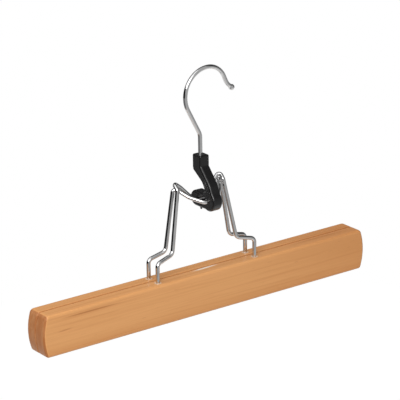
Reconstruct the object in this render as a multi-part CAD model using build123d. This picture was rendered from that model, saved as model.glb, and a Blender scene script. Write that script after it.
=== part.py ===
from build123d import *
import os

# A trouser hanger: two wooden bars clamp the trouser legs, two wire bows carry the bars and hook
# through each other, and a lever on the hook spreads the bows to shut the bars or lets them open.
# Lengths are millimetres and angles are degrees. X runs along the bars, Y from the front bar to
# the rear bar, Z up. Pieces are drawn about the stem of the hook with Z = 0 under the bars, and
# are moved at the end so that the origin is where a rail touches the inside of the hook.

# Wooden bars
bar_length = 321.6
bar_height = 34.9
bar_thickness = 12.1
bar_end_bulge = 3.3
bar_top_corner_radius = 4.0
bar_bottom_corner_radius = 2.6
bar_outer_edge_radius = 2.4
bar_inner_edge_radius = 1.2

# Felt liners, sunk in the inner faces of the bars
felt_length = 297.0
felt_height = 20.0
felt_thickness = 1.2
felt_corner_radius = 2.0
felt_stand = 0.05
jaw_gap = 0.3

# Wire bows: each rises from its bar, steps inward and climbs to a crown on either side
bow_wire = 3.4
bow_clearance = 0.25
foot_span = 97.0
foot_depth = 16.4
foot_hole_clearance = 0.05
step_height = 15.9
step_rise = 3.8
leg_span = 64.0
leg_spread = 9.5
leg_setback = 1.1
crown_span = 45.4
step_bend = 4.0
leg_bend = 5.0
cross_bend = 6.0

# The pivot is where the front bow lies in the lever, and the hinge line is where the bows cross
pivot_rise = 59.4
hinge_rise = 12.3
hinge_setback = 5.0
lever_reach = 13.7
reach_rise = 1.0
dip_margin = 1.4

# Crowns of the bows, from the hinge line, in pitches of one wire and its clearance (X, Y, Z)
front_crown_shares = ((0, -1.21, -0.25), (0.11, 0.38, 1.15), (-1.64, -0.11, -0.36), (-3.2, -0.93, -2.16))
rear_crown_shares = ((0.22, 0.16, -0.36), (-0.68, -0.38, -0.74), (-2.11, -2.66, -2.05))
front_crown_bend_shares = (0.575, 0.575, 0.82, 1.64)
rear_crown_bend_shares = (0.6, 0.6, 2.2)

# Lever
lever_width = 9.2
lever_edge_radius = 1.8
block_edge_radius = 1.3
heel_wall = 4.5
heel_back = 2.1
heel_lift = 0.5
web_floor = 4.0
web_fall = 1.0
nose_radius = 8.6
nose_forward = 1.1
nose_lift = 1.0
nose_bend = 9.0
slot_clearance = 0.22
slot_arch_rise = 1.3
slot_arch_share = 0.78
block_height = 13.3
block_front = 5.9
block_back = 4.9
kink_rise = 24.0
kink_skew = 4.6
kink_bend = 1.6
elbow_drop = 8.3
elbow_back_reach = 7.3
elbow_front_reach = 17.3
arm_bend = 14.0
nub_radius = 1.3
nub_length = 1.5
nub_reach = 4.0
nub_side = 2.8

# Hook
hook_wire = 3.5
hook_clearance = 0.08
hook_crown_offset = 8.3
hook_left_radius = 22.1
hook_right_radius = 17.6
hook_left_angle = 27.4
hook_right_angle = 23.6
hook_rise = 70.3
stem_bend = 11.0
neck_length = 4.3
neck_radius = 12.0
neck_angle = 26.0
tip_length = 3.2
tip_diameter = 5.0
head_diameter = 5.2
head_height = 1.8
head_depth = 6.0
head_clearance = 0.1

overrun = 1.0

# Places worked out from the sizes above
bar_inner_face = jaw_gap / 2 + felt_stand
bar_centre = bar_inner_face + bar_thickness / 2
pitch = bow_wire + bow_clearance
pivot_height = bar_height + pivot_rise
hinge_height = pivot_height + hinge_rise
dip_half_width = lever_width / 2 + dip_margin
lever_top = pivot_height + kink_rise + block_height
crown_height = lever_top + hook_rise
seat_height = crown_height - hook_wire / 2
stem_foot_height = lever_top - head_depth


def bar_blank():
    """The front bar about its middle: bulging ends, and edges rounded more outside than inside."""
    half_length = bar_length / 2
    corner_x = half_length - bar_end_bulge
    with BuildSketch(Plane.XZ) as outline:
        with BuildLine():
            Line((-corner_x, 0), (corner_x, 0))
            ThreePointArc((corner_x, 0), (half_length, bar_height / 2), (corner_x, bar_height))
            Line((corner_x, bar_height), (-corner_x, bar_height))
            ThreePointArc((-corner_x, bar_height), (-half_length, bar_height / 2), (-corner_x, 0))
        make_face()
        fillet(outline.vertices().group_by(Axis.Y)[-1], bar_top_corner_radius)
        fillet(outline.vertices().group_by(Axis.Y)[0], bar_bottom_corner_radius)
    blank = extrude(outline.sketch, bar_thickness / 2, both=True)
    outer = blank.faces().sort_by(Axis.Y)[0]
    blank = fillet(outer.edges(), bar_outer_edge_radius)
    inner = blank.faces().sort_by(Axis.Y)[-1]
    return fillet(inner.edges(), bar_inner_edge_radius)


def felt_pad(side):
    """A felt liner, standing a little proud of its bar. Side is -1 at the front and 1 at the rear."""
    face_y = side * (jaw_gap / 2 + felt_thickness / 2)
    outline = Plane.XZ * RectangleRounded(felt_length, felt_height, felt_corner_radius)
    return Pos(0, face_y, bar_height / 2) * extrude(outline, felt_thickness / 2, both=True)


def bar(side):
    """A wooden bar with the rebate for its felt and the two blind holes for the feet of its bow."""
    body = Pos(0, -bar_centre, 0) * bar_blank()
    if side > 0:
        body = mirror(body, about=Plane.XZ)
    body -= felt_pad(side)
    hole = Cylinder(
        bow_wire / 2 + foot_hole_clearance,
        foot_depth + overrun,
        align=(Align.CENTER, Align.CENTER, Align.MIN),
    )
    for foot_x in (-foot_span / 2, foot_span / 2):
        body -= Pos(foot_x, side * bar_centre, bar_height - foot_depth) * hole
    return body


def crown_point(shares):
    """A point of a crown on the right, from the hinge line, in wire pitches."""
    x_share, y_share, z_share = shares
    return (
        crown_span / 2 + x_share * pitch,
        hinge_setback + y_share * pitch,
        hinge_height + z_share * pitch,
    )


def bow(side, crown_shares, crown_bend_shares, dip):
    """A wire bow: its right half from the foot to the dip that lies in the lever, then mirrored."""
    step_top = bar_height + step_height
    right_half = [
        (foot_span / 2, side * bar_centre, bar_height - foot_depth),
        (foot_span / 2, side * bar_centre, step_top),
        (leg_span / 2, side * leg_spread / 2 + leg_setback, step_top + step_rise),
    ]
    right_half += [crown_point(shares) for shares in crown_shares]
    right_half += [(dip_half_width, *dip)]
    left_half = [(-x, y, z) for x, y, z in reversed(right_half)]
    bends = [step_bend, leg_bend]
    bends += [share * pitch for share in crown_bend_shares]
    bends += [cross_bend]
    path = FilletPolyline(*right_half, *left_half, radius=bends + bends[::-1])
    return sweep((path ^ 0) * Circle(bow_wire / 2), path=path)


def slot_sketch():
    """The slot of the lever: a seat for the front bow and an arched run for the rear bow."""
    seat = Circle(bow_wire / 2 + slot_clearance)
    shut_end = Pos(-lever_reach, reach_rise) * seat
    arch = Pos(-lever_reach * slot_arch_share, reach_rise + slot_arch_rise) * seat
    return Sketch() + make_hull(seat.edges() + shut_end.edges() + arch.edges())


def block_sketch():
    """The side view of the block on top of the lever, about the pivot."""
    outline = Polyline(
        (block_back, kink_rise + kink_bend),
        (block_back, kink_rise + block_height),
        (-block_front, kink_rise + block_height),
        (-block_front, kink_rise + kink_skew),
        close=True,
    )
    return make_face(outline.edges())


def lower_sketch():
    """The side view of the lever below its block: slanting arm, nose, web and heel."""
    heel_radius = bow_wire / 2 + slot_clearance + heel_wall
    heel_top = heel_lift + heel_radius
    web_bottom = -(bow_wire / 2 + slot_clearance + web_floor)
    nose_y = -(lever_reach + nose_forward)
    nose_z = reach_rise + nose_lift
    heel = Pos(heel_back, heel_lift) * Circle(heel_radius)
    nose = Pos(nose_y, nose_z) * Circle(nose_radius)
    web = Polyline(
        (nose_y, web_bottom),
        (heel_back, web_bottom),
        (heel_back, heel_top),
        (nose_y, heel_top - web_fall),
        close=True,
    )
    arm_top = kink_rise + block_height / 2
    arm = FilletPolyline(
        (block_back, arm_top),
        (block_back, kink_rise),
        (-elbow_back_reach, kink_rise - elbow_drop),
        (nose_y, nose_z),
        (nose_y - nose_radius, nose_z),
        (-elbow_front_reach, kink_rise - elbow_drop),
        (-block_front, kink_rise + kink_skew),
        (-block_front, arm_top),
        radius=(kink_bend, arm_bend, 0, 0, arm_bend, kink_bend),
    )
    top = Line(arm @ 1, arm @ 0)
    outline = heel + nose + make_face(web.edges()) + make_face(arm.edges() + top.edges())
    return fillet(outline.vertices().sort_by(Axis.X)[0], nose_bend)


def lever():
    """The moulded lever, with its slot for the bows and the swivel bore for the hook."""
    at_pivot = Plane((0, 0, pivot_height), x_dir=(0, 1, 0), z_dir=(1, 0, 0))
    body = extrude(at_pivot * lower_sketch(), lever_width / 2, both=True)
    sides = body.faces().sort_by(Axis.X)
    body = fillet(sides[0].edges() + sides[-1].edges(), lever_edge_radius)
    body -= extrude(at_pivot * slot_sketch(), lever_width / 2 + overrun, both=True)
    block = extrude(at_pivot * block_sketch(), lever_width / 2, both=True)
    corners = block.edges().filter_by(Axis.Z)
    body += fillet(corners + block.faces().sort_by(Axis.Z)[-1].edges(), block_edge_radius)
    web_bottom = pivot_height - (bow_wire / 2 + slot_clearance + web_floor)
    nub = Cone(nub_radius, nub_radius / 2, nub_length + overrun, rotation=(180, 0, 0))
    body += Pos(-nub_side, -nub_reach, web_bottom + (overrun - nub_length) / 2) * nub
    rising = (Align.CENTER, Align.CENTER, Align.MIN)
    bore = Cylinder(hook_wire / 2 + hook_clearance, head_depth + overrun, align=rising)
    body -= Pos(0, 0, stem_foot_height) * bore
    pocket = Cylinder(head_diameter / 2 + head_clearance, head_height + 2 * head_clearance)
    body -= Pos(0, 0, stem_foot_height - head_height / 2) * pocket
    return body


def hook_path():
    """The centreline of the hook: stem, slant, round crown, neck and flared tip."""
    top_angle = 90
    left = CenterArc(
        (hook_crown_offset, crown_height - hook_left_radius),
        hook_left_radius,
        top_angle,
        top_angle + hook_left_angle,
    )
    right = CenterArc(
        (hook_crown_offset, crown_height - hook_right_radius),
        hook_right_radius,
        hook_right_angle,
        top_angle - hook_right_angle,
    )
    slant = left % 1
    corner = left @ 1 - slant * ((left @ 1).X / slant.X)
    stem = FilletPolyline(left @ 1, corner, (0, stem_foot_height), radius=stem_bend)
    neck = Line(right @ 0, right @ 0 - (right % 0) * neck_length)
    flare = JernArc(neck @ 1, neck % 1, neck_radius, neck_angle)
    tip = Line(flare @ 1, flare @ 1 + (flare % 1) * tip_length)
    pieces = (stem, left, right, neck, flare, tip)
    return Plane.XZ * Wire([edge for piece in pieces for edge in piece.edges()])


def hook():
    """The wire hook, with a head inside the lever and a ball on its tip."""
    path = hook_path()
    stem_foot = Vector(0, 0, stem_foot_height)
    profile = Pos(stem_foot) * Circle(hook_wire / 2)
    tip_end = max(path.vertices(), key=lambda corner: corner.X).center()
    body = sweep(profile, path=path)
    body += Pos(stem_foot) * Cylinder(
        head_diameter / 2, head_height, align=(Align.CENTER, Align.CENTER, Align.MAX)
    )
    return body + Pos(tip_end) * Sphere(tip_diameter / 2, rotation=(90, 0, 0))


def main():
    os.makedirs("parts", exist_ok=True)
    to_seat = Pos(-hook_crown_offset, 0, -seat_height)
    pieces = {
        "front_bar": bar(-1),
        "rear_bar": bar(1),
        "front_felt": felt_pad(-1),
        "rear_felt": felt_pad(1),
        "front_bow": bow(-1, front_crown_shares, front_crown_bend_shares, (0, pivot_height)),
        "rear_bow": bow(
            1, rear_crown_shares, rear_crown_bend_shares, (-lever_reach, pivot_height + reach_rise)
        ),
        "lever": lever(),
        "hook": hook(),
    }
    for name, piece in pieces.items():
        export_step(to_seat * piece, f"parts/{name}.step")


main()
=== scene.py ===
"""A trouser hanger: lacquered wooden bars with felt liners, wire bows, a lever and a hook."""

import math

import bmesh
import bpy
from bpy.props import FloatProperty, FloatVectorProperty, IntProperty, PointerProperty
from mathutils import Matrix, Vector, noise


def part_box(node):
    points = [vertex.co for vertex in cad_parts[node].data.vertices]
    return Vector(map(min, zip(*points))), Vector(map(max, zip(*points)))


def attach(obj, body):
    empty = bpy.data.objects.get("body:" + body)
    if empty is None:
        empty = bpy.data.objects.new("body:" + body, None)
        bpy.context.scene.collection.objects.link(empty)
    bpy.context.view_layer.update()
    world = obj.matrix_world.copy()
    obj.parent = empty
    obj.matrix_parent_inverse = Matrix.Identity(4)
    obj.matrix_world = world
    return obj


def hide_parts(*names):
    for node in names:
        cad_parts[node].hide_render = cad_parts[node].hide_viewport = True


bl_info = {
    "name": "Trouser Hanger",
    "version": (1, 0, 0),
    "blender": (4, 5, 0),
    "location": "View3D > Sidebar > Hanger",
    "description": "Dresses a trouser hanger: wooden bars, felt liners, wire bows, lever and hook",
    "category": "Add Mesh",
}

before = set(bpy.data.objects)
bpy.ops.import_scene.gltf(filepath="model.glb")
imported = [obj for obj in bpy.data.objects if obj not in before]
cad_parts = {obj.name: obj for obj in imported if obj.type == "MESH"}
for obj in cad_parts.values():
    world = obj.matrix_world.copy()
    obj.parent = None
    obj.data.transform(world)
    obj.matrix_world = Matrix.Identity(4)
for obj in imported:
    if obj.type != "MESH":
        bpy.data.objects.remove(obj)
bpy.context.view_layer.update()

MM = 0.001
bar_low, bar_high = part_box("front_bar")
STEM_X = (bar_low.x + bar_high.x) / 2
BAR_FOOT_Z = bar_low.z
HALF_BAR = (bar_high.x - bar_low.x) / 2

# Corners of the wire paths, in millimetres from the stem line and the underside of the bars, with
# the bend radius at each. Each bow runs from its right foot to the dip that lies in the lever.
FRONT_BOW_HALF = (
    (48.5, -6.25, 18.5, 0.0),
    (48.5, -6.25, 50.8, 4.0),
    (32.0, -3.65, 54.6, 5.0),
    (22.7, 0.583, 105.688, 2.099),
    (23.101, 6.387, 110.797, 2.099),
    (16.714, 4.598, 105.286, 2.993),
    (11.02, 1.605, 98.716, 5.986),
    (6.0, 0.0, 94.3, 6.0),
)
REAR_BOW_HALF = (
    (48.5, 6.25, 18.5, 0.0),
    (48.5, 6.25, 50.8, 4.0),
    (32.0, 5.85, 54.6, 5.0),
    (23.503, 5.584, 105.286, 2.19),
    (20.218, 3.613, 103.899, 2.19),
    (14.998, -4.709, 99.117, 8.03),
    (6.0, -13.7, 95.3, 6.0),
)
HOOK_PATH = (
    (0.0, 0.0, 125.6, 0.0),
    (0.0, 0.0, 147.79, 11.0),
    (-28.05, 0.0, 201.9, 22.1),
    (19.82, 0.0, 201.9, 17.6),
    (27.257, 0.0, 184.87, 12.0),
    (33.708, 0.0, 179.378, 0.0),
)

# Panels of the studio as bright metal shows them, each painted over the ones before: the angle
# from +X about the upright, the angle above the horizon, half the width, half the height, the
# softness of the edge as a share of its size, and the brightness. Angles are in degrees.
STUDIO_PANELS = (
    (225, 65, 60, 26, 0.35, 0.85),
    (58, 40, 62, 32, 0.4, 0.1),
    (22, 48, 46, 24, 0.35, 0.06),
    (180, -22, 52, 14, 0.35, 0.36),
    (175, -38, 50, 13, 0.3, 0.24),
    (162, -27, 40, 17, 0.4, 0.16),
    (222, 33, 40, 17, 0.2, 2.2),
    (155, 0, 60, 15, 0.12, 0.008),
    (185, 10, 33, 11, 0.2, 0.01),
    (205, -9, 24, 7, 0.3, 0.05),
    (120, -7, 18, 9, 0.3, 0.03),
    (331, 22, 22, 32, 0.35, 0.06),
    (10, -44, 28, 20, 0.35, 1.5),
)

# The noise in the wood: its stretch along each axis, its detail, roughness and distortion
WOOD_NOISE = {
    "clouds": ((4, 60, 45), 3, 0.5, 0.3),
    "bands": ((7, 520, 520), 4, 0.6, 0.2),
    "fibre": ((30, 2400, 2400), 2, 0.6, 0),
    "rings": ((9, 340, 340), 2, 0.5, 0.2),
    "wave": ((11, 50, 50), 2, 0.5, 0),
    "lines": ((6, 900, 900), 2, 0.6, 0.2),
    "flecks": ((110, 1500, 1500), 0, 0.5, 0),
    "pores": ((500, 760, 180), 3, 0.6, 0),
    "patches": ((200, 300, 80), 2, 0.5, 0),
}

# How the noise shows in the colour: where it starts, where it is full, and its share there
WOOD_SHARES = {
    "clouds": (0.3, 0.7, 0.55),
    "bands": (0.48, 0.72, 0.26),
    "fibre": (0.4, 0.75, 0.55),
    "rings": (0.56, 0.66, 0.26),
    "lines": (0.54, 0.7, 0.6),
    "flecks": (0.83, 0.9, 0.4),
    "pores": (0.35, 0.65, 0.6),
    "patches": (0.4, 0.6, 0.6),
}

# How far each bar's grain is moved along X, one way or the other, so that the two planks differ
PLANK_SHIFT = 0.93

# How much of its tone shows on the reddish lower edge; towards the right end, where the
# reddening is partly wood tone and partly painted shade of the light falling off; on the top
# towards the right end, as painted shade; in the seam, as painted shade; on the pale rims of the
# foot holes; and where the sawn ends round into the faces
LOWER_EDGE_SHARE = 0.38
RIGHT_END_TONE_AND_SHADE_SHARE = 0.4
RIGHT_TOP_SHADE_SHARE = 0.22
SEAM_SHADE_SHARE = 0.65
RIM_SHARE = 0.6
ROUNDING_SHARE = 0.5

# From the stem line to where the wood starts to redden towards its right end, a reddening
# that is partly painted shade, and where the painted shade on its top starts
RIGHT_TONE_AND_SHADE_FROM = 20 * MM

# The reddish lower edge: how high its wave goes, where it is full and where it ends
EDGE_WAVE = 8 * MM
EDGE_FULL = 6 * MM
EDGE_END = 14 * MM

# The seam between the bars, from its middle, which takes painted shade and, near the tips,
# the sawn tone: where it is full and where it ends
SEAM_FULL = 0.7 * MM
SEAM_END = 1.1 * MM

# The sawn tone in the seam, from the tip of a bar: where it is full and where it ends
TIP_FULL = 4 * MM
TIP_END = 5 * MM

# The pale rim of a foot hole, from the axis of the hole: where it is full and where it ends
RIM_FULL = 2.2 * MM
RIM_END = 3.4 * MM

# Marks on the bars, in millimetres from the stem line and the underside of the bars: the middle,
# the reach along each axis, the turn about Y and about Z in degrees, the strength and the tone.
# The dark ones are flecks in the wood; the pale one on the seam is a painted highlight.
WOOD_MARKS = (
    ((-116, -12.3, 30.2), (34, 2, 1.0), (0, 0), 0.65, "fleck"),
    ((-141, -12.3, 20.1), (9, 2, 0.9), (-2.5, 0), 0.4, "fleck"),
    ((118, -4.5, 35), (40, 1.8, 2), (0, 0), 0.4, "fleck"),
    # A painted highlight: a pale dash on the seam between the bars
    ((1.5, -2.2, 34.9), (16, 2.0, 2), (0, 2.9), 1.0, "pale"),
)

# The felts: the faces along and across, how far the pressed edge drops and from how far in, the
# fineness of the nap, and the sharpest turn that is still shaded smooth
FELT_COLUMNS = 296
FELT_ROWS = 20
FELT_EDGE_DROP = 0.35 * MM
FELT_EDGE_WIDTH = 1.2 * MM
NAP_FINENESS = 700
SMOOTH_ANGLE = math.radians(50)

# The wires: the points in each bend, the step along the path, how softly the ball grows out of the
# wire, and how far the wire runs past the middle of the ball
BEND_POINTS = 24
WIRE_STEP = 0.5 * MM
BALL_BLEND = 0.5 * MM
BALL_OVERLAP = 0.01 * MM

# The camera's sensor, in millimetres, and half a pixel as a share of the picture
SENSOR_WIDTH = 36
HALF_PIXEL = 0.5 / 400

# The floor: how far its middle lies towards the shadow as a share of its radius, its sides, its
# grey, and the glow that the camera and reflections meet there, with its share
FLOOR_SHIFT_SHARE = 0.38
FLOOR_SIDES = 96
FLOOR_GREY = 0.85
FLOOR_GLOW = 1.1
FLOOR_GLOW_SHARE = 0.8

# The ground under the studio's walls in a reflection: its brightness, and the angles from the
# horizon, in degrees, between which it turns into the walls
GROUND_LEVEL = 0.8
GROUND_TOP = -45
WALL_FOOT = -30

# The even light from straight below and from straight above, as shares of the fill
FILL_BELOW = 0.8
FILL_ABOVE = 1.2

# The lamps: the name, the place from the camera's aim, the side of the square, and the power as a
# share of the key
LAMPS = (
    ("Key lamp", (-0.88, -0.79, 0.7), 0.7, 1.0),
    ("Top lamp", (-0.5, -0.1, 1.3), 0.9, 0.2),
)


class HangerWood(bpy.types.PropertyGroup):
    """The lacquered wood of the bars."""

    honey: FloatVectorProperty(
        name="Honey", description="The lighter tone of the wood", subtype="COLOR",
        size=3, min=0, max=1, default=(0.77, 0.375, 0.14),
    )
    amber: FloatVectorProperty(
        name="Amber", description="The deeper tone of the clouds and the fibre", subtype="COLOR",
        size=3, min=0, max=1, default=(0.68, 0.315, 0.106),
    )
    russet: FloatVectorProperty(
        name="Russet", description="The reddish tone of the bands and the lower edge",
        subtype="COLOR", size=3, min=0, max=1, default=(0.58, 0.225, 0.062),
    )
    end_grain: FloatVectorProperty(
        name="End grain", description="The tone of the sawn ends", subtype="COLOR",
        size=3, min=0, max=1, default=(0.5, 0.22, 0.085),
    )
    # Also the tone of the painted shade in the seam and on the top towards the right end
    fleck: FloatVectorProperty(
        name="Fleck", description="The tone of the dark flecks and the seam", subtype="COLOR",
        size=3, min=0, max=1, default=(0.4, 0.13, 0.03),
    )
    # The worn lacquer that this tone gives is a painted highlight on the seam between the bars
    pale: FloatVectorProperty(
        name="Pale", description="The tone of worn lacquer and of the rims of the holes",
        subtype="COLOR", size=3, min=0, max=1, default=(0.9, 0.75, 0.61),
    )


class HangerFelt(bpy.types.PropertyGroup):
    """The felt liners of the jaws."""

    colour: FloatVectorProperty(
        name="Colour", description="The colour of the pressed felt", subtype="COLOR",
        size=3, min=0, max=1, default=(0.085, 0.085, 0.09),
    )
    nap: FloatProperty(
        name="Nap", description="How far the surface of the felt rises and falls",
        subtype="DISTANCE", unit="LENGTH", min=0, max=0.4 * MM, default=0.06 * MM,
    )


class HangerWire(bpy.types.PropertyGroup):
    """The plated wire of the bows and the hook."""

    bow_wire: FloatProperty(
        name="Bow wire", description="The diameter of the wire of the bows",
        subtype="DISTANCE", unit="LENGTH", min=1 * MM, max=6 * MM, default=3.4 * MM,
    )
    hook_wire: FloatProperty(
        name="Hook wire", description="The diameter of the wire of the hook",
        subtype="DISTANCE", unit="LENGTH", min=1 * MM, max=6 * MM, default=3.5 * MM,
    )
    tip_ball: FloatProperty(
        name="Tip ball", description="The diameter of the ball on the tip of the hook",
        subtype="DISTANCE", unit="LENGTH", min=1 * MM, max=9 * MM, default=5 * MM,
    )
    sides: IntProperty(
        name="Sides", description="The number of faces around a wire", min=8, max=48, default=28,
    )
    plating: FloatVectorProperty(
        name="Plating", description="The colour of the plating", subtype="COLOR",
        size=3, min=0, max=1, default=(0.62, 0.62, 0.62),
    )


class HangerLever(bpy.types.PropertyGroup):
    """The moulded lever."""

    colour: FloatVectorProperty(
        name="Colour", description="The colour of the moulded plastic", subtype="COLOR",
        size=3, min=0, max=1, default=(0.005, 0.0048, 0.0052),
    )


class HangerStage(bpy.types.PropertyGroup):
    """The floor, the lamps and the camera."""

    aim: FloatVectorProperty(
        name="Aim", description="The point that the camera looks at", subtype="XYZ",
        unit="LENGTH", size=3, default=(-8.897 * MM, 0, -107.858 * MM),
    )
    azimuth: FloatProperty(
        name="Azimuth", description="The camera's angle about the upright", subtype="ANGLE",
        default=math.radians(-36.025),
    )
    elevation: FloatProperty(
        name="Elevation", description="The camera's angle above the horizon", subtype="ANGLE",
        default=math.radians(19.096),
    )
    roll: FloatProperty(
        name="Roll", description="The camera's turn about its line of sight", subtype="ANGLE",
        default=math.radians(-0.965),
    )
    distance: FloatProperty(
        name="Distance", description="From the camera to the aim", subtype="DISTANCE",
        unit="LENGTH", min=0.1, default=1852.343 * MM,
    )
    lens: FloatProperty(
        name="Lens", description="The focal length on a 36 mm sensor, in millimetres",
        min=10, max=500, default=207.9,
    )
    floor_drop: FloatProperty(
        name="Floor drop", description="From the underside of the bars down to the floor",
        subtype="DISTANCE", unit="LENGTH", min=0, default=0.42,
    )
    floor_radius: FloatProperty(
        name="Floor radius", description="From the middle of the floor to its edge",
        subtype="DISTANCE", unit="LENGTH", min=0.3, default=0.75,
    )
    fill: FloatProperty(
        name="Fill", description="The strength of the even light from all round", min=0,
        default=0.55,
    )
    studio: FloatProperty(
        name="Studio", description="How bright the walls of the studio are in a reflection",
        min=0, default=0.55,
    )
    key: FloatProperty(
        name="Key", description="The power of the large soft lamp, in watts", min=0, default=10.2,
    )


def add_node(tree, kind, inputs=None, **settings):
    """Adds a node, sets its own settings, and fills or links its inputs."""
    made = tree.nodes.new(kind)
    for name, value in settings.items():
        setattr(made, name, value)
    for name, value in (inputs or {}).items():
        socket = made.inputs[name]
        if isinstance(value, bpy.types.NodeSocket):
            tree.links.new(value, socket)
        else:
            socket.default_value = value
    return made


def calculate(tree, operation, first, second=0.0, third=0.0):
    """A sum on one or more numbers."""
    inputs = {0: first, 1: second}
    if operation in ("SMOOTH_MAX", "MULTIPLY_ADD", "WRAP"):
        inputs[2] = third
    return add_node(tree, "ShaderNodeMath", inputs, operation=operation).outputs[0]


def times(tree, first, second):
    """The product of two numbers."""
    return calculate(tree, "MULTIPLY", first, second)


def unsigned(tree, value):
    """A number without its sign."""
    return calculate(tree, "ABSOLUTE", value)


def between(tree, first, second):
    """How far apart two numbers are."""
    return unsigned(tree, calculate(tree, "SUBTRACT", first, second))


def squares(tree, first, second):
    """The sum of the squares of two numbers."""
    return calculate(tree, "ADD", times(tree, first, first), times(tree, second, second))


def ramp(tree, value, low, high, start=0.0, end=1.0):
    """A smooth step of a number, from start at low to end at high."""
    stepped = add_node(
        tree, "ShaderNodeMapRange",
        {"Value": value, "From Min": low, "From Max": high, "To Min": start, "To Max": end},
        interpolation_type="SMOOTHSTEP",
    )
    return stepped.outputs["Result"]


def blend_colours(tree, share, first, second):
    """Two colours mixed, the second by its share."""
    mixed = add_node(tree, "ShaderNodeMix", data_type="RGBA")
    given = zip((mixed.inputs[0], mixed.inputs[6], mixed.inputs[7]), (share, first, second))
    for socket, value in given:
        if isinstance(value, bpy.types.NodeSocket):
            tree.links.new(value, socket)
        else:
            socket.default_value = (*value[:3], 1.0)
    return mixed.outputs[2]


def grain_noise(tree, place, scale, detail=3.0, roughness=0.5, distortion=0.0):
    """Noise stretched by a scale along each axis."""
    stretched = add_node(tree, "ShaderNodeMapping", {"Vector": place, "Scale": scale})
    made = add_node(
        tree, "ShaderNodeTexNoise",
        {"Vector": stretched.outputs[0], "Scale": 1.0, "Detail": detail, "Roughness": roughness,
         "Distortion": distortion},
    )
    return made.outputs["Fac"]


def new_material(name):
    """An empty material with its shader, ready for its nodes."""
    material = bpy.data.materials.new(name)
    material.use_nodes = True
    tree = material.node_tree
    tree.nodes.clear()
    shader = add_node(tree, "ShaderNodeBsdfPrincipled")
    add_node(tree, "ShaderNodeOutputMaterial", {"Surface": shader.outputs[0]})
    return material, tree, shader


def set_sockets(shader, values):
    """Puts plain values on the shader's own sockets."""
    for name, value in values.items():
        shader.inputs[name].default_value = value


def add_bump(tree, shader, strength, distance, height):
    """Raises the surface by a height, for the light alone."""
    bump = add_node(
        tree, "ShaderNodeBump", {"Strength": strength, "Distance": distance, "Height": height}
    )
    tree.links.new(bump.outputs[0], shader.inputs["Normal"])


def give_material(piece, material):
    """Puts one material on all of a piece."""
    piece.data.materials.clear()
    piece.data.materials.append(material)


def streak(tree, place, middle, reach, turns):
    """A soft-edged dash on a bar, 1 along its middle and 0 outside its reach."""
    x, y, z = middle
    dash = add_node(
        tree, "ShaderNodeMapping",
        {
            "Vector": place,
            "Location": (STEM_X + x * MM, y * MM, BAR_FOOT_Z + z * MM),
            "Rotation": (0, *(math.radians(turn) for turn in turns)),
            "Scale": tuple(part * MM for part in reach),
        },
        vector_type="TEXTURE",
    )
    away = add_node(tree, "ShaderNodeVectorMath", {0: dash.outputs[0]}, operation="LENGTH")
    return ramp(tree, away.outputs["Value"], 1.0, 0.3)


def foot_rims(tree, spot):
    """The rims of the holes that the feet of the bows stand in: 1 on them and 0 elsewhere."""
    foot_x, foot_y, foot_z, _ = FRONT_BOW_HALF[0]
    aside = calculate(tree, "SUBTRACT", between(tree, spot["X"], STEM_X), foot_x * MM)
    ahead = calculate(tree, "SUBTRACT", unsigned(tree, spot["Y"]), abs(foot_y) * MM)
    away = calculate(tree, "SQRT", squares(tree, aside, ahead))
    above = calculate(tree, "GREATER_THAN", spot["Z"], BAR_FOOT_Z + foot_z * MM)
    return times(tree, ramp(tree, away, RIM_END, RIM_FULL), above)


def sawn_tone(tree, wood, shares, across, seam):
    """The sawn ends: pores and darker patches, deepest where the end rounds into the faces."""
    sawn = blend_colours(tree, shares["pores"], wood.end_grain, wood.fleck)
    sawn = blend_colours(tree, shares["patches"], sawn, wood.fleck)
    rounding = ramp(tree, across, 0.1, 0.7, 0, ROUNDING_SHARE)
    rounding = times(tree, rounding, calculate(tree, "SUBTRACT", 1.0, seam))
    return blend_colours(tree, rounding, sawn, wood.fleck)


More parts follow.
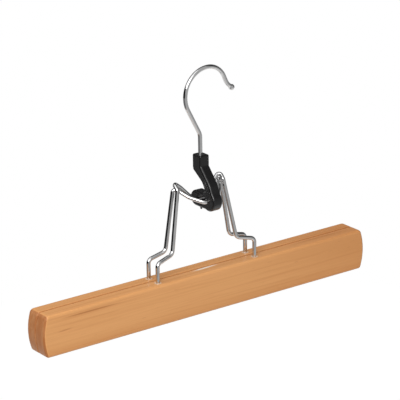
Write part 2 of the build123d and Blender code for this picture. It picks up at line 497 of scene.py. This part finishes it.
def wood_material(wood):
    """Honey-coloured wood with lengthwise grain, a few dark lines and sawn ends, under lacquer."""
    material, tree, shader = new_material("Lacquered beech")
    surface = add_node(tree, "ShaderNodeTexCoord").outputs
    spot = add_node(tree, "ShaderNodeSeparateXYZ", {0: surface["Object"]}).outputs
    facing = add_node(tree, "ShaderNodeSeparateXYZ", {0: surface["Normal"]}).outputs
    plank = times(tree, calculate(tree, "SIGN", spot["Y"]), PLANK_SHIFT)
    shift = add_node(tree, "ShaderNodeCombineXYZ", {0: plank}).outputs[0]
    place = add_node(tree, "ShaderNodeVectorMath", {0: surface["Object"], 1: shift}).outputs[0]
    noises = {name: grain_noise(tree, place, *given) for name, given in WOOD_NOISE.items()}
    shares = {
        name: ramp(tree, noises[name], low, high, 0, most)
        for name, (low, high, most) in WOOD_SHARES.items()
    }
    rise = calculate(tree, "SUBTRACT", spot["Z"], BAR_FOOT_Z)
    edge = calculate(tree, "MULTIPLY_ADD", noises["wave"], EDGE_WAVE, rise)
    to_right = ramp(tree, spot["X"], STEM_X + RIGHT_TONE_AND_SHADE_FROM, STEM_X + HALF_BAR)
    top = ramp(tree, facing["Z"], 0.5, 0.95)
    painted_shade_top = ramp(tree, facing["Z"], 0.3, 0.7)
    across = unsigned(tree, facing["Y"])
    seam = ramp(tree, unsigned(tree, spot["Y"]), SEAM_END, SEAM_FULL)
    seam = times(tree, seam, ramp(tree, across, 0.99, 0.9))
    layers = [
        (shares["clouds"], wood.amber),
        (shares["bands"], wood.russet),
        (shares["fibre"], wood.amber),
        (shares["rings"], wood.russet),
        (ramp(tree, edge, EDGE_FULL, EDGE_END, LOWER_EDGE_SHARE, 0), wood.russet),
        # Partly wood tone, partly painted shade: redder and darker towards the right end
        (times(tree, to_right, RIGHT_END_TONE_AND_SHADE_SHARE), wood.russet),
        # Painted shade: the top darker towards the right end, where the light falls off
        (times(tree, times(tree, to_right, RIGHT_TOP_SHADE_SHARE), painted_shade_top), wood.fleck),
        (times(tree, top, shares["lines"]), wood.russet),
        (shares["flecks"], wood.fleck),
        # Painted shade in the seam between the bars
        (times(tree, seam, SEAM_SHADE_SHARE), wood.fleck),
    ]
    # The marks: dark flecks, and a pale dash on the seam that is a painted highlight
    for middle, reach, turns, strength, tone in WOOD_MARKS:
        mark = streak(tree, surface["Object"], middle, reach, turns)
        layers.append((times(tree, mark, strength), getattr(wood, tone)))
    layers.append((times(tree, foot_rims(tree, spot), RIM_SHARE), wood.pale))
    colour = wood.honey
    for share, tone in layers:
        colour = blend_colours(tree, share, colour, tone)
    end = ramp(tree, unsigned(tree, facing["X"]), 0.35, 0.65)
    out = between(tree, spot["X"], STEM_X)
    outermost = ramp(tree, out, HALF_BAR - TIP_END, HALF_BAR - TIP_FULL)
    end = calculate(tree, "MAXIMUM", end, times(tree, outermost, seam))
    colour = blend_colours(tree, end, colour, sawn_tone(tree, wood, shares, across, seam))
    tree.links.new(colour, shader.inputs["Base Color"])
    roughness = ramp(tree, noises["fibre"], 0.3, 0.8, 0.42, 0.54)
    tree.links.new(roughness, shader.inputs["Roughness"])
    set_sockets(
        shader, {"Specular IOR Level": 0.35, "Coat Weight": 0.1, "Coat Roughness": 0.28}
    )
    relief = calculate(tree, "ADD", noises["bands"], noises["fibre"])
    add_bump(tree, shader, 0.04, 0.04 * MM, relief)
    return material


def felt_material(felt):
    """Pressed felt: matted fibres in two shades, with a soft sheen."""
    material, tree, shader = new_material("Pressed felt")
    place = add_node(tree, "ShaderNodeTexCoord").outputs["Object"]
    fibres = grain_noise(tree, place, (1500, 1500, 2600), 4, 0.65, 1.5)
    clumps = grain_noise(tree, place, (160, 160, 160), 3)
    lighter = tuple(min(1.0, part * 2.1) for part in felt.colour)
    share = ramp(tree, calculate(tree, "MULTIPLY_ADD", clumps, 0.4, fibres), 0.5, 0.95)
    tree.links.new(blend_colours(tree, share, felt.colour, lighter), shader.inputs["Base Color"])
    set_sockets(shader, {"Roughness": 0.95, "Sheen Weight": 0.2, "Sheen Roughness": 0.4})
    add_bump(tree, shader, 0.8, 0.12 * MM, fibres)
    return material


def wire_material(wire):
    """Bright plating over drawn wire, with faint lines along its length."""
    material, tree, shader = new_material("Plated wire")
    along = add_node(tree, "ShaderNodeUVMap", uv_map="wire_uv")
    drawn = grain_noise(tree, along.outputs[0], (60, 24, 1), 3, 0.6)
    haze = grain_noise(tree, along.outputs[0], (240, 3, 1), 2)
    dimmed = tuple(part * 0.86 for part in wire.plating)
    share = ramp(tree, haze, 0.45, 0.75)
    tree.links.new(blend_colours(tree, share, wire.plating, dimmed), shader.inputs["Base Color"])
    set_sockets(shader, {"Metallic": 1.0})
    tree.links.new(ramp(tree, drawn, 0.3, 0.75, 0.04, 0.09), shader.inputs["Roughness"])
    add_bump(tree, shader, 0.08, 0.02 * MM, drawn)
    return material


def lever_material(lever):
    """Black moulded plastic, a little glossy, with the faint grain of its mould and light wear."""
    material, tree, shader = new_material("Black plastic")
    place = add_node(tree, "ShaderNodeTexCoord").outputs["Object"]
    flow = grain_noise(tree, place, (90, 60, 30), 3, 0.5, 0.6)
    scuffs = grain_noise(tree, place, (900, 700, 240), 3, 0.6)
    worn = tuple(part * 1.9 for part in lever.colour)
    share = ramp(tree, times(tree, flow, scuffs), 0.2, 0.45)
    tree.links.new(blend_colours(tree, share, lever.colour, worn), shader.inputs["Base Color"])
    tree.links.new(ramp(tree, scuffs, 0.3, 0.8, 0.28, 0.4), shader.inputs["Roughness"])
    set_sockets(
        shader, {"Specular IOR Level": 0.22, "Coat Weight": 0.4, "Coat Roughness": 0.2}
    )
    mould = grain_noise(tree, place, (2400, 2400, 2400), 1)
    add_bump(tree, shader, 0.12, 0.03 * MM, mould)
    return material


def kept(tree, geometry, name, value, kind="FLOAT", domain="POINT"):
    """A geometry with one value stored on it under a name."""
    stored = add_node(
        tree, "GeometryNodeStoreNamedAttribute",
        {"Geometry": geometry, "Name": name, "Value": value},
        data_type=kind, domain=domain,
    )
    return stored.outputs[0]


def recalled(tree, name):
    """A number that was stored under a name."""
    return add_node(
        tree, "GeometryNodeInputNamedAttribute", {"Name": name}, data_type="FLOAT"
    ).outputs[0]


def swept_wire_tree():
    """Rounds the corners of a path, sweeps a wire along it and swells its far end into a ball."""
    tree = bpy.data.node_groups.new("Swept wire", "GeometryNodeTree")
    tree.is_modifier = True
    for name, direction, kind in (
        ("Path", "INPUT", "NodeSocketGeometry"),
        ("Wire radius", "INPUT", "NodeSocketFloat"),
        ("Ball radius", "INPUT", "NodeSocketFloat"),
        ("Step", "INPUT", "NodeSocketFloat"),
        ("Sides", "INPUT", "NodeSocketInt"),
        ("Material", "INPUT", "NodeSocketMaterial"),
        ("Wire", "OUTPUT", "NodeSocketGeometry"),
    ):
        tree.interface.new_socket(name, in_out=direction, socket_type=kind)
    given = add_node(tree, "NodeGroupInput").outputs
    path = add_node(tree, "GeometryNodeMeshToCurve", {"Mesh": given["Path"]}).outputs[0]
    rounded = add_node(
        tree, "GeometryNodeFilletCurve",
        {"Curve": path, "Radius": recalled(tree, "bend"), "Count": BEND_POINTS},
        mode="POLY",
    ).outputs[0]
    even = add_node(
        tree, "GeometryNodeResampleCurve", {"Curve": rounded, "Length": given["Step"]},
        mode="LENGTH",
    ).outputs[0]
    run = add_node(tree, "GeometryNodeSplineParameter").outputs["Length"]
    whole = add_node(tree, "GeometryNodeSplineLength").outputs["Length"]
    left = calculate(tree, "SUBTRACT", whole, run)
    off = calculate(tree, "SUBTRACT", left, given["Ball radius"])
    inside = calculate(
        tree, "SUBTRACT",
        times(tree, given["Ball radius"], given["Ball radius"]), times(tree, off, off),
    )
    ball = calculate(tree, "SQRT", calculate(tree, "MAXIMUM", inside))
    before_ball = calculate(tree, "GREATER_THAN", off, -BALL_OVERLAP)
    shank = times(tree, given["Wire radius"], before_ball)
    radius = calculate(tree, "SMOOTH_MAX", ball, shank, BALL_BLEND)
    sized = add_node(
        tree, "GeometryNodeSetCurveRadius", {"Curve": even, "Radius": radius}
    ).outputs[0]
    ring = add_node(
        tree, "GeometryNodeCurvePrimitiveCircle",
        {"Resolution": given["Sides"], "Radius": 1.0},
        mode="RADIUS",
    ).outputs[0]
    turn = add_node(tree, "GeometryNodeSplineParameter").outputs["Factor"]
    swept = add_node(
        tree, "GeometryNodeCurveToMesh",
        {
            "Curve": kept(tree, sized, "run", run),
            "Profile Curve": kept(tree, ring, "turn", turn),
            "Scale": add_node(tree, "GeometryNodeInputRadius").outputs[0],
            "Fill Caps": True,
        },
    ).outputs[0]
    flat = add_node(
        tree, "ShaderNodeCombineXYZ", {0: recalled(tree, "run"), 1: recalled(tree, "turn")}
    ).outputs[0]
    mapped = kept(tree, swept, "wire_uv", flat, "FLOAT2", "CORNER")
    smooth = add_node(tree, "GeometryNodeSetShadeSmooth", {"Geometry": mapped}).outputs[0]
    real = add_node(tree, "GeometryNodeRealizeInstances", {"Geometry": smooth}).outputs[0]
    dressed = add_node(
        tree, "GeometryNodeSetMaterial", {"Geometry": real, "Material": given["Material"]}
    ).outputs[0]
    add_node(tree, "NodeGroupOutput", {0: dressed})
    return tree


def make_wire(name, corners, body, wire_diameter, ball_diameter=0.0):
    """Sweeps one wire along its corners, in place of the node of the same name."""
    settings = bpy.context.scene.hanger_wire
    mesh = bpy.data.meshes.new(name)
    points = [(STEM_X + x * MM, y * MM, BAR_FOOT_Z + z * MM) for x, y, z, _ in corners]
    mesh.from_pydata(points, [(i, i + 1) for i in range(len(points) - 1)], [])
    bend = mesh.attributes.new("bend", "FLOAT", "POINT")
    for i, corner in enumerate(corners):
        bend.data[i].value = corner[3] * MM
    path = bpy.data.objects.new(name + "_path", mesh)
    bpy.context.scene.collection.objects.link(path)
    tree = bpy.data.node_groups.get("Swept wire") or swept_wire_tree()
    material = bpy.data.materials.get("Plated wire") or wire_material(settings)
    modifier = path.modifiers.new("Swept wire", "NODES")
    modifier.node_group = tree
    values = {
        "Wire radius": wire_diameter / 2,
        "Ball radius": ball_diameter / 2,
        "Step": WIRE_STEP,
        "Sides": settings.sides,
        "Material": material,
    }
    for item in tree.interface.items_tree:
        if item.in_out == "INPUT" and item.name in values:
            modifier[item.identifier] = values[item.name]
    bpy.context.view_layer.update()
    finished = bpy.data.meshes.new_from_object(
        path.evaluated_get(bpy.context.evaluated_depsgraph_get())
    )
    bpy.data.objects.remove(path)
    piece = bpy.data.objects.new(name + "_wire", finished)
    bpy.context.scene.collection.objects.link(piece)
    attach(piece, body)
    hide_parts(name)


def mirrored(half):
    """A whole bow from its right half."""
    return half + tuple((-x, y, z, bend) for x, y, z, bend in reversed(half))


class HANGER_OT_bars(bpy.types.Operator):
    """Give the two wooden bars their lacquered wood"""

    bl_idname = "hanger.bars"
    bl_label = "Wooden bars"

    def execute(self, context):
        material = wood_material(context.scene.hanger_wood)
        for name in ("front_bar", "rear_bar"):
            give_material(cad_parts[name], material)
        return {"FINISHED"}


def felt_mesh(name, nap):
    """One felt: a napped face towards the other bar, pressed edges and a flat back."""
    low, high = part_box(name)
    size = high - low
    outer, face_y, back_y = (-1, high.y, low.y) if low.y < 0 else (1, low.y, high.y)
    form = bmesh.new()
    bmesh.ops.create_grid(form, x_segments=FELT_COLUMNS, y_segments=FELT_ROWS, size=0.5)
    for vertex in form.verts:
        x = low.x + (vertex.co.x + 0.5) * size.x
        z = low.z + (vertex.co.y + 0.5) * size.z
        spot = Vector((x, outer * 0.1, z))
        sunk = abs(noise.fractal(spot * NAP_FINENESS, 0.6, 2.0, 3) * nap)
        near = min(x - low.x, high.x - x, z - low.z, high.z - z)
        drop = FELT_EDGE_DROP * max(0.0, 1 - near / FELT_EDGE_WIDTH) ** 2
        vertex.co = (x, face_y + outer * (drop + sunk), z)
    rim = [edge for edge in form.edges if edge.is_boundary]
    skirt = bmesh.ops.extrude_edge_only(form, edges=rim)["geom"]
    for vertex in (part for part in skirt if isinstance(part, bmesh.types.BMVert)):
        vertex.co.y = back_y
    back = [edge for edge in form.edges if edge.is_boundary]
    bmesh.ops.contextual_create(form, geom=back)
    bmesh.ops.recalc_face_normals(form, faces=form.faces)
    mesh = bpy.data.meshes.new(name + "_sheet")
    form.to_mesh(mesh)
    form.free()
    mesh.shade_smooth()
    mesh.set_sharp_from_angle(angle=SMOOTH_ANGLE)
    return mesh, size


class HANGER_OT_felts(bpy.types.Operator):
    """Make the two felt liners of the jaws"""

    bl_idname = "hanger.felts"
    bl_label = "Felt liners"

    def execute(self, context):
        felt = context.scene.hanger_felt
        material = felt_material(felt)
        for name, bar, body in (
            ("front_felt", "front_bar", "front_jaw"),
            ("rear_felt", "rear_bar", "rear_jaw"),
        ):
            mesh, size = felt_mesh(name, felt.nap)
            piece = bpy.data.objects.new(name + "_sheet", mesh)
            context.scene.collection.objects.link(piece)
            give_material(piece, material)
            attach(piece, body)
            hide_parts(name)
        return {"FINISHED"}


class HANGER_OT_bows(bpy.types.Operator):
    """Sweep the two wire bows that carry the bars"""

    bl_idname = "hanger.bows"
    bl_label = "Wire bows"

    def execute(self, context):
        wire = context.scene.hanger_wire.bow_wire
        make_wire("front_bow", mirrored(FRONT_BOW_HALF), "front_jaw", wire)
        make_wire("rear_bow", mirrored(REAR_BOW_HALF), "rear_jaw", wire)
        return {"FINISHED"}


class HANGER_OT_hook(bpy.types.Operator):
    """Sweep the wire hook with its ball tip"""

    bl_idname = "hanger.hook"
    bl_label = "Hook"

    def execute(self, context):
        wire = context.scene.hanger_wire
        make_wire("hook", HOOK_PATH, "hook", wire.hook_wire, wire.tip_ball)
        return {"FINISHED"}


class HANGER_OT_lever(bpy.types.Operator):
    """Give the lever its moulded plastic"""

    bl_idname = "hanger.lever"
    bl_label = "Lever"

    def execute(self, context):
        give_material(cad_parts["lever"], lever_material(context.scene.hanger_lever))
        return {"FINISHED"}


def mixed_number(tree, share, first, second):
    """Two numbers mixed, the second by its share."""
    return add_node(
        tree, "ShaderNodeMix", {0: share, 2: first, 3: second}, data_type="FLOAT"
    ).outputs[0]


def add_panel(tree, angle, rise, panel, behind):
    """Sets one soft-edged oval panel of the studio in front of what is behind it."""
    turn, height, half_width, half_height, softness, level = panel
    aside = calculate(tree, "SUBTRACT", angle, math.radians(turn))
    aside = calculate(tree, "WRAP", aside, math.pi, -math.pi)
    aside = calculate(tree, "DIVIDE", aside, math.radians(half_width))
    above = calculate(tree, "SUBTRACT", rise, math.radians(height))
    above = calculate(tree, "DIVIDE", above, math.radians(half_height))
    away = calculate(tree, "SQRT", squares(tree, aside, above))
    return mixed_number(tree, ramp(tree, away, 1 + softness, 1 - softness), behind, level)


class HANGER_OT_stage(bpy.types.Operator):
    """Set up the floor, the lamps, the surroundings and the camera"""

    bl_idname = "hanger.stage"
    bl_label = "Stage"

    def execute(self, context):
        scene = context.scene
        stage = scene.hanger_stage
        self.camera(scene, stage)
        self.floor(scene, stage)
        self.surroundings(scene, stage)
        self.lamps(scene, stage)
        scene.view_settings.view_transform = "Standard"
        return {"FINISHED"}

    def camera(self, scene, stage):
        """The camera at the photograph's angle."""
        turn, rise = stage.azimuth, stage.elevation
        back = Vector(
            (math.sin(turn) * math.cos(rise), -math.cos(turn) * math.cos(rise), math.sin(rise))
        )
        right = Vector((math.cos(turn), math.sin(turn), 0))
        up = back.cross(right)
        tilted_right = right * math.cos(stage.roll) + up * math.sin(stage.roll)
        tilted_up = up * math.cos(stage.roll) - right * math.sin(stage.roll)
        data = bpy.data.cameras.new("Camera")
        data.lens = stage.lens
        data.sensor_width = SENSOR_WIDTH
        data.shift_x = -HALF_PIXEL
        data.shift_y = HALF_PIXEL
        data.clip_end = 50
        camera = bpy.data.objects.new("Camera", data)
        axes = Matrix((tilted_right, tilted_up, back)).transposed().to_4x4()
        camera.matrix_world = Matrix.Translation(Vector(stage.aim) + back * stage.distance) @ axes
        scene.collection.objects.link(camera)
        scene.camera = camera

    def floor(self, scene, stage):
        """A plain white floor, well below the bars, that reaches to where their shadow falls."""
        form = bmesh.new()
        bmesh.ops.create_circle(
            form, cap_ends=True, segments=FLOOR_SIDES, radius=stage.floor_radius
        )
        aside = stage.floor_radius * FLOOR_SHIFT_SHARE
        middle = Vector((STEM_X + aside, aside, BAR_FOOT_Z - stage.floor_drop))
        bmesh.ops.translate(form, verts=form.verts, vec=middle)
        mesh = bpy.data.meshes.new("Floor")
        form.to_mesh(mesh)
        form.free()
        floor = bpy.data.objects.new("Floor", mesh)
        scene.collection.objects.link(floor)
        material = bpy.data.materials.new("White floor")
        material.use_nodes = True
        tree = material.node_tree
        tree.nodes.clear()
        rays = add_node(tree, "ShaderNodeLightPath").outputs
        seen = calculate(tree, "MAXIMUM", rays["Is Camera Ray"], rays["Is Glossy Ray"])
        seen = calculate(tree, "MAXIMUM", seen, rays["Is Transmission Ray"])
        grey = (FLOOR_GREY, FLOOR_GREY, FLOOR_GREY, 1)
        matt = add_node(tree, "ShaderNodeBsdfDiffuse", {"Color": grey})
        lit = add_node(
            tree, "ShaderNodeEmission", {"Color": (1, 1, 1, 1), "Strength": FLOOR_GLOW}
        )
        share = times(tree, seen, FLOOR_GLOW_SHARE)
        mixed = add_node(
            tree, "ShaderNodeMixShader", {0: share, 1: matt.outputs[0], 2: lit.outputs[0]}
        )
        add_node(tree, "ShaderNodeOutputMaterial", {"Surface": mixed.outputs[0]})
        give_material(floor, material)

    def surroundings(self, scene, stage):
        """Even light, a white background, and the panels of the studio for what is glossy."""
        world = bpy.data.worlds.new("Studio")
        scene.world = world
        world.use_nodes = True
        tree = world.node_tree
        tree.nodes.clear()
        direction = add_node(tree, "ShaderNodeTexCoord").outputs["Generated"]
        part = add_node(tree, "ShaderNodeSeparateXYZ", {0: direction}).outputs
        rays = add_node(tree, "ShaderNodeLightPath").outputs
        angle = calculate(tree, "ARCTAN2", part["Y"], part["X"])
        rise = calculate(tree, "ARCSINE", part["Z"])
        foot = (math.radians(GROUND_TOP), math.radians(WALL_FOOT))
        studio = ramp(tree, rise, *foot, GROUND_LEVEL, stage.studio)
        for panel in STUDIO_PANELS:
            studio = add_panel(tree, angle, rise, panel, studio)
        fill = ramp(tree, part["Z"], -1, 1, stage.fill * FILL_BELOW, stage.fill * FILL_ABOVE)
        strength = mixed_number(tree, rays["Is Glossy Ray"], fill, studio)
        seen = calculate(tree, "MAXIMUM", rays["Is Camera Ray"], rays["Is Transmission Ray"])
        strength = mixed_number(tree, seen, strength, 1.0)
        light = add_node(
            tree, "ShaderNodeBackground", {"Color": (1, 1, 1, 1), "Strength": strength}
        )
        add_node(tree, "ShaderNodeOutputWorld", {"Surface": light.outputs[0]})

    def lamps(self, scene, stage):
        """A large soft key lamp in front at the upper left, and a weaker one overhead."""
        centre = Vector(stage.aim)
        for name, place, size, share in LAMPS:
            data = bpy.data.lights.new(name, "AREA")
            data.shape = "SQUARE"
            data.size = size
            data.energy = stage.key * share
            lamp = bpy.data.objects.new(name, data)
            lamp.location = centre + Vector(place)
            lamp.rotation_euler = (-Vector(place)).to_track_quat("-Z", "Y").to_euler()
            scene.collection.objects.link(lamp)


class HANGER_PT_panel(bpy.types.Panel):
    """The sizes and colours of the hanger, and a button for each of its pieces"""

    bl_label = "Trouser Hanger"
    bl_idname = "HANGER_PT_panel"
    bl_space_type = "VIEW_3D"
    bl_region_type = "UI"
    bl_category = "Hanger"

    def draw(self, context):
        layout = self.layout
        for group, operators in PANEL_ROWS:
            box = layout.box()
            settings = getattr(context.scene, group)
            for name in settings.bl_rna.properties.keys():
                if name not in ("rna_type", "name"):
                    box.prop(settings, name)
            for operator in operators:
                box.operator(operator)


PANEL_ROWS = (
    ("hanger_stage", ("hanger.stage",)),
    ("hanger_wood", ("hanger.bars",)),
    ("hanger_felt", ("hanger.felts",)),
    ("hanger_wire", ("hanger.bows", "hanger.hook")),
    ("hanger_lever", ("hanger.lever",)),
)

GROUPS = {
    "hanger_stage": HangerStage,
    "hanger_wood": HangerWood,
    "hanger_felt": HangerFelt,
    "hanger_wire": HangerWire,
    "hanger_lever": HangerLever,
}

CLASSES = (
    *GROUPS.values(),
    HANGER_OT_stage,
    HANGER_OT_bars,
    HANGER_OT_felts,
    HANGER_OT_bows,
    HANGER_OT_hook,
    HANGER_OT_lever,
    HANGER_PT_panel,
)


def register():
    """Adds the classes to Blender, and the settings to its scenes."""
    for kind in CLASSES:
        bpy.utils.register_class(kind)
    for name, group in GROUPS.items():
        setattr(bpy.types.Scene, name, PointerProperty(type=group))


def unregister():
    """Takes the settings and the classes out of Blender again."""
    for name in GROUPS:
        delattr(bpy.types.Scene, name)
    for kind in reversed(CLASSES):
        bpy.utils.unregister_class(kind)


def main():
    """Makes the stage and every piece."""
    register()
    bpy.ops.hanger.stage()
    bpy.ops.hanger.bars()
    bpy.ops.hanger.felts()
    bpy.ops.hanger.bows()
    bpy.ops.hanger.hook()
    bpy.ops.hanger.lever()


if __name__ == "__main__":
    main()
